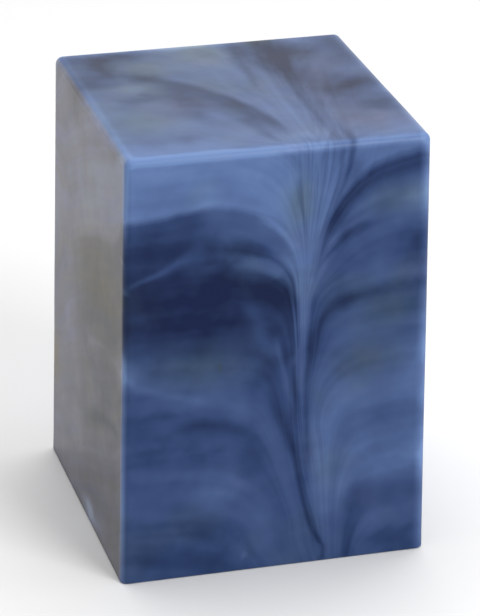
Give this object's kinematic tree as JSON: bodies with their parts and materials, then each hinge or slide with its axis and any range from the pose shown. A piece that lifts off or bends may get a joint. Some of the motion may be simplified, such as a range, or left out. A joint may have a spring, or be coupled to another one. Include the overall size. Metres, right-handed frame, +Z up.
{
  "type": "funeral urn",
  "caption": "Square tapered cremation urn cast in swirled blue marbled resin stone, hollow for ashes, with rounded edges and a screw plug in the underside.",
  "frame": {"origin": "centre of the underside, on the surface that the urn stands on", "axes": "+Z up along the urn's height; -Y is the front face, with the plume in its marbling; +X is to the right seen from the front"},
  "size_m": [0.161, 0.161, 0.229],
  "materials": {
    "swirled_blue_marble": "satin",
    "black_plastic": "satin"
  },
  "bodies": {
    "root": {"urn_body": "swirled_blue_marble", "closure_plug": "black_plastic"}
  },
  "joints": []
}
